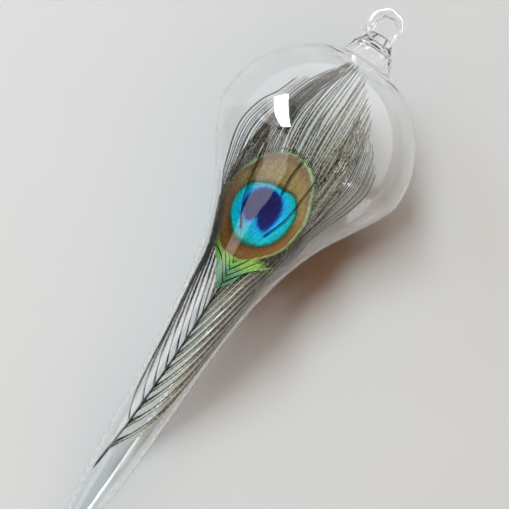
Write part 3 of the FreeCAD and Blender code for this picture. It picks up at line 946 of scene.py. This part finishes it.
def left_look(depth, swing, crossing, pale):
    """Left barbs: dark where they lie against the wall, and painted pale just inside it, a painted
    reflection streak along the tail.
    """
    # painted reflection: a pale streak of barbules and ribs just inside the left wall, from depth 70 down
    painted_reflection_streak = ramp(swing, 0.5, 0.7) * ramp(swing, 0.93, 0.82) * ramp(depth, 70.0, 80.0)
    return {
        "warm": 0.9,
        "pale": np.maximum(pale, 0.75 * painted_reflection_streak),
        "fluff": 1.0 - 0.65 * crossing * (1.0 - painted_reflection_streak),
        "painted_rib_highlight": np.maximum(crossing * ramp(swing, 0.25, 0.5), 0.6 * painted_reflection_streak),
        "dark": ramp(swing, 0.8, 0.93) * ramp(depth, 24.0, 60.0),
    }


def right_look(depth, swing, crossing, pale):
    """Right barbs: darker where they lie together beside the eye and below it."""
    return {
        "warm": 0.5,
        "pale": pale,
        "fluff": 0.9,
        "dark": 0.8 * ramp(swing, 0.5, 0.85) * ramp(depth, 30.0, 50.0),
    }


def side_barbs(piece, sign, first_node, nodes, node_barbs, spread_table, outer_table, inner_table,
               tips, pitch):
    """All loose barbs of one side, in the small groups in which they leave the shaft.

    sign is -1 for the left and 1 for the right, tips the first and last barbs' tip depths, and
    pitch the distance between barbs that lie packed together.
    """
    spread, outer, inner = smooth(spread_table), smooth(outer_table), smooth(inner_table)
    side_look, packing = (left_look, LEFT_PACKING) if sign < 0 else (right_look, RIGHT_PACKING)
    near, growth = NODE_STEPS
    barbs = []
    for node in range(nodes):
        leaves = first_node + near * node + growth * node * node
        for below, thick, sweep in node_barbs:
            barbs.append((leaves + below + rng.normal(0.0, ROOT_SCATTER), thick, sweep))
    for rank, (root, thick, sweep) in enumerate(barbs):
        share = rank / (len(barbs) - 1)
        root_angle = float(sheet_angle(root, shaft_side(root)))
        tip = tips[0] + (tips[1] - tips[0]) * share ** 1.4 + rng.normal(0.0, TIP_SCATTER)
        depth = root + (tip - root) * np.linspace(0.0, 1.0, BARB_STEPS) ** 1.15
        swing = 1.0 - np.exp(-(root - depth) / (sweep * float(spread(share))))
        along_shaft = sheet_angle(depth, shaft_side(depth))
        start = np.where(depth > SHAFT_LINE[0][0], along_shaft, root_angle)
        from_outermost = (len(barbs) - 1 - rank) * pitch / feather_back(depth)
        at_wall = np.radians(outer(depth)) - from_outermost
        packed = start + (sign * at_wall - start) * swing
        fan_share = (rank + 0.5 + rng.normal(0.0, FAN_SCATTER)) / len(barbs)
        fanned = sign * np.radians(inner(depth) + (outer(depth) - inner(depth)) * fan_share)
        angle = packed + (fanned - packed) * (1.0 - ramp(depth, *FAN_DEPTHS))
        angle[0] = root_angle
        scatter = rng.normal(0.0, BEHIND_SCATTER) * ramp(depth, root, root - 12.0)
        places = on_sheet(depth, angle, lift(depth) + scatter)
        crossing = ramp(depth, 74.0, 88.0) * (1.0 - ramp(swing, *packing))
        # barbs crossing the gap are painted pale, partly their tone and partly painted sheen; higher up
        # some barbs are paler at random
        pale = np.maximum(crossing, rng.choice([0.0, 0.1, 0.5]) * ramp(depth, 60.0, 45.0))
        look = side_look(depth, swing, crossing, pale)
        add_barb(piece, places, thick, rng.uniform(), **look)


# ---- shaft and strays ----

def feather_shaft(material):
    """The quill and the shaft up to the notch of the eye."""
    depth = np.linspace(QUILL_TIP_DEPTH, SHAFT_LINE[0][0], 90)
    places = on_sheet(depth, sheet_angle(depth, shaft_side(depth)), lift(depth) - 0.1)
    radii = np.interp(depth, [55.0, 75.0, 120.0, 139.5, 141.6], [0.12, 0.26, 0.34, 0.42, 0.12])
    piece = Piece()
    add_tube(piece, places, sheet_frames(places), radii, 12)
    return piece.build("shaft_and_quill", material, "feather", "feather_shaft")


STRAY_RIB = 0.17
STRAY_BEHIND = -0.55
# three stray barbs that cross the front of the eye: (depth, side)
STRAYS = [
    [(58.8, 1.7), (50.4, 4.9), (44.9, 5.4), (37.0, 6.0), (30.0, 4.6)],
    [(45.6, -0.4), (39.8, -0.8), (34.1, -0.4), (28.2, -0.6), (22.0, -1.4)],
    [(60.5, -5.2), (58.3, -6.4), (54.2, -8.5), (48.7, -10.2), (43.0, -11.3), (35.0, -11.9)],
]


def stray_barbs(piece):
    """Bare ribs in front of the eye."""
    for points in STRAYS:
        depth, side = smooth_line(points, EYE_BARB_STEPS).T
        places = on_sheet_at(depth, side, STRAY_BEHIND)
        radii = STRAY_RIB * (1.0 - 0.3 * np.linspace(0.0, 1.0, len(places)))
        add_tube(piece, places, sheet_frames(places), radii, 5, strand=0.2)


def feather(frame_nodes):
    """Every part of the feather, standing for the frame's feather nodes."""
    eye_look, barb_look, quill_look = eye_material(), barb_material(), shaft_material()
    shaft = feather_shaft(quill_look)
    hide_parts("feather_shaft")
    eye = eye_web()
    crown = Piece(*BARB_NUMBERS)
    eye_barbs(eye, crown)
    stray_barbs(crown)
    eye_piece = eye.build("eye_of_feather", eye_look, "feather", "eye_web")
    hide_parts("eye_vane")
    left = Piece(*BARB_NUMBERS)
    side_barbs(left, -1, LEFT_FIRST_NODE, 11, LEFT_NODE, LEFT_SPREAD, LEFT_OUTER, LEFT_INNER,
               tips=(4.5, 15.0), pitch=0.48)
    right = Piece(*BARB_NUMBERS)
    side_barbs(right, 1, RIGHT_FIRST_NODE, 12, RIGHT_NODE, RIGHT_SPREAD, RIGHT_OUTER, RIGHT_INNER,
               tips=(13.5, 26.0), pitch=0.36)
    for group, piece in (("left", left), ("right", right), ("crown", crown)):
        built = piece.build(group + "_barbs", barb_look, "feather", "loose_barb")
        members = sorted(name for name in frame_nodes if name.startswith(group + "_barb_"))
        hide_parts(*members)


# ---- stage, light and camera ----

CAMERA_LIFT = 500.0           # camera distance from the glass axis
CAMERA_SIDE = 2.5
CAMERA_DEPTH = 64.7
PICTURE_WIDTH = 146.8         # what the picture spans at the glass axis
CAMERA_ROLL = math.radians(32.29)


def camera():
    """Looks straight at the glass axis from the front, rolled so that the neck is up on the right."""
    data = bpy.data.cameras.new("camera")
    data.lens = data.sensor_width * CAMERA_LIFT / PICTURE_WIDTH
    data.clip_start = 0.01
    data.clip_end = 20.0
    obj = new_object("camera", data)
    right = Vector((math.cos(CAMERA_ROLL), 0.0, math.sin(CAMERA_ROLL)))
    up = Vector((-math.sin(CAMERA_ROLL), 0.0, math.cos(CAMERA_ROLL)))
    place = Vector(in_frame(CAMERA_SIDE, -CAMERA_LIFT, CAMERA_DEPTH) * MM)
    put(obj, place, right, up, Vector((0.0, -1.0, 0.0)))
    bpy.context.scene.camera = obj


TABLE_SIZE = 0.9              # half of its width, in metres
TABLE_GAP = 0.0003            # keeps the table off the glass


def table_material():
    """Pale and matt. To glossy rays its lower outer corners are painted dark, a painted dark reflection
    in the glass. Clear from behind and to shadows.
    """
    material, net, shader = new_material("pale_table")
    patches = net.object_noise(9.0, 2.0)
    shade = net.colour_ramp(patches, [(0.3, (232, 232, 233)), (0.7, (236, 236, 236))])
    path = net.new("LightPath")
    place = net.place()
    # painted reflection: seen by glossy rays only, the table turns dark at its lower left and lower right
    left = net.map_range(place["X"], -0.035, -0.07)
    right = net.map_range(place["X"], 0.1, 0.2)
    low = net.map_range(place["Z"], -0.055, -0.08, 0.0, 0.75)
    outer = net.math("MAXIMUM", left, right)
    corner = net.math("MULTIPLY", outer, low)
    painted_dark_reflection = net.math("MULTIPLY", corner, path.outputs["Is Glossy Ray"])
    tint = net.mix(painted_dark_reflection, shade, (20, 18, 17))
    dress(net, shader, tint, 0.8, 0.1)
    through = net.new("BsdfTransparent")
    back = net.new("NewGeometry").outputs["Backfacing"]
    unseen = net.math("MAXIMUM", back, path.outputs["Is Shadow Ray"])
    net.let_through(unseen, shader, through)
    return material


def backdrop():
    """The pale table top that the ornament lies on, touching the bulb and the tail's tip."""
    tilt = math.atan2(BULB_RADIUS - TIP_ROUND, TIP_DEPTH - BULB_RADIUS)
    normal = Vector((0.0, math.cos(tilt), -math.sin(tilt)))
    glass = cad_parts["glass_envelope"].data
    points = np.empty(len(glass.vertices) * 3)
    glass.vertices.foreach_get("co", points)
    height = (points.reshape(-1, 3) @ np.array(normal)).max() + TABLE_GAP
    across = Vector((1.0, 0.0, 0.0))
    upwards = across.cross(normal)
    facing_camera = Vector((0.0, 0.0, (CROWN_Z - CAMERA_DEPTH) * MM))
    middle = normal * height + upwards * upwards.dot(facing_camera)
    corners = []
    for x, y in ((-1, -1), (1, -1), (1, 1), (-1, 1)):
        corners.append(middle + across * (x * TABLE_SIZE) + upwards * (y * TABLE_SIZE))
    mesh = bpy.data.meshes.new("table_top")
    mesh.from_pydata(corners, [], [(0, 1, 2, 3)])
    mesh.materials.append(table_material())
    table = new_object("table_top", mesh)
    if mesh.polygons[0].normal.dot(normal) > 0.0:
        mesh.flip_normals()


LIGHT_TARGET = (0.0, 8.0, 45.0)
UPRIGHT = (0.0, 0.0, 1.0)
ALONG_SHADOW = (-0.763, 0.0, 0.646)
ALONG_WINDOW = (-0.344, 0.662, 0.667)
# name, direction it comes from, distance, size, power, colour, long axis
UNSEEN_LIGHTS = [
    ("daylight", (-0.69, -0.71, 0.14), 2.2, (0.5, 1.5), 51.5, (0.795, 0.944, 1.0), ALONG_SHADOW),
    ("back_fill", (0.25, 0.9, 0.35), 2.0, (1.6, 1.6), 26.0, (1.0, 0.98, 0.95), UPRIGHT),
]
MIRRORED_LIGHTS = [
    ("window", (-0.735, -0.645, 0.2), 2.2, (0.55, 1.55), 50.0, (0.95, 0.97, 1.0), ALONG_WINDOW),
    ("window_glow", (-0.79, -0.59, 0.17), 2.3, (0.8, 1.75), 11.0, (1.0, 0.95, 0.96), ALONG_WINDOW),
    ("pale_wall", (-0.487, -0.561, -0.669), 1.4, (0.6, 1.2), 3.6, (1.0, 0.97, 0.97), UPRIGHT),
    ("low_wall", (-0.832, -0.52, -0.19), 1.4, (0.7, 0.36), 1.6, (1.0, 0.95, 0.93), UPRIGHT),
]


def area_light(name, direction, distance, size, power, shade, long_axis):
    """A soft rectangular light, aimed at the eye of the feather from a direction."""
    data = bpy.data.lights.new(name, "AREA")
    data.shape = "RECTANGLE"
    data.size, data.size_y = size
    data.energy = power
    data.color = shade
    obj = new_object(name, data)
    target = Vector(in_frame(*LIGHT_TARGET) * MM)
    away = Vector(direction).normalized()
    tall = Vector(long_axis)
    tall = (tall - away * tall.dot(away)).normalized()
    put(obj, target + away * distance, tall.cross(away), tall, away)
    obj.visible_camera = False
    return obj


def lights():
    """Daylight and its fill, which the glass doesn't show, and the bright shapes that it mirrors."""
    for placing in UNSEEN_LIGHTS:
        soft = area_light(*placing)
        soft.visible_glossy = False
        soft.visible_transmission = False
    for placing in MIRRORED_LIGHTS:
        area_light(*placing).visible_diffuse = False


ROOM_LIGHT = (140, 107, 84)
MIRROR_BOOST = 0.9            # how much brighter the mirrored room is, as a share of its colours


def room():
    """A pale studio, seen directly or through glass. Dimmer, warmer light reaches rough surfaces.

    What the glass mirrors of it is pale above and behind, and dark below and in front.
    """
    world = bpy.data.worlds.new("room")
    bpy.context.scene.world = world
    world.use_nodes = True
    net = Network(world.node_tree)
    background = net.nodes["Background"]
    path = net.new("LightPath")
    towards = net.new("VectorMath")
    towards.operation = "DOT_PRODUCT"
    towards.inputs[1].default_value = Vector((0.0, 0.6, 0.8)).normalized()
    net.link(net.new("TexCoord").outputs["Generated"], towards.inputs[0])
    mirrored = net.colour_ramp(net.map_range(towards.outputs["Value"], -1.0, 1.0), [
        (0.0, (24, 22, 20)), (0.26, (30, 28, 27)), (0.4, (120, 118, 118)), (0.55, (214, 213, 213)),
        (1.0, (248, 247, 248)),
    ])
    seen, through = path.outputs["Is Camera Ray"], path.outputs["Is Transmission Ray"]
    straight = net.math("MAXIMUM", seen, through)
    shade = net.mix(straight, ROOM_LIGHT, (218, 218, 219))
    once = net.math("MINIMUM", path.outputs["Glossy Depth"], 1.0)
    reflected = net.math("MULTIPLY", once, path.outputs["Is Glossy Ray"])
    shade = net.mix(reflected, shade, mirrored)
    scattered = net.math("MINIMUM", path.outputs["Diffuse Depth"], 1.0)
    shade = net.mix(scattered, shade, ROOM_LIGHT)
    net.link(shade, background.inputs["Color"])
    direct = net.math("SUBTRACT", 1.0, scattered)
    brighter = net.math("MULTIPLY", direct, MIRROR_BOOST)
    boost = net.math("MULTIPLY", brighter, reflected)
    net.link(net.math("ADD", boost, 1.0), background.inputs["Strength"])


def main():
    """Builds the pieces, then the stage round them."""
    glass = clear_glass()
    glass_body(glass)
    hanging_loop(glass)
    feather(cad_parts)
    backdrop()
    lights()
    room()
    camera()
    scene = bpy.context.scene
    scene.view_settings.view_transform = "Standard"
    scene.cycles.caustics_reflective = False
    scene.cycles.caustics_refractive = False


main()
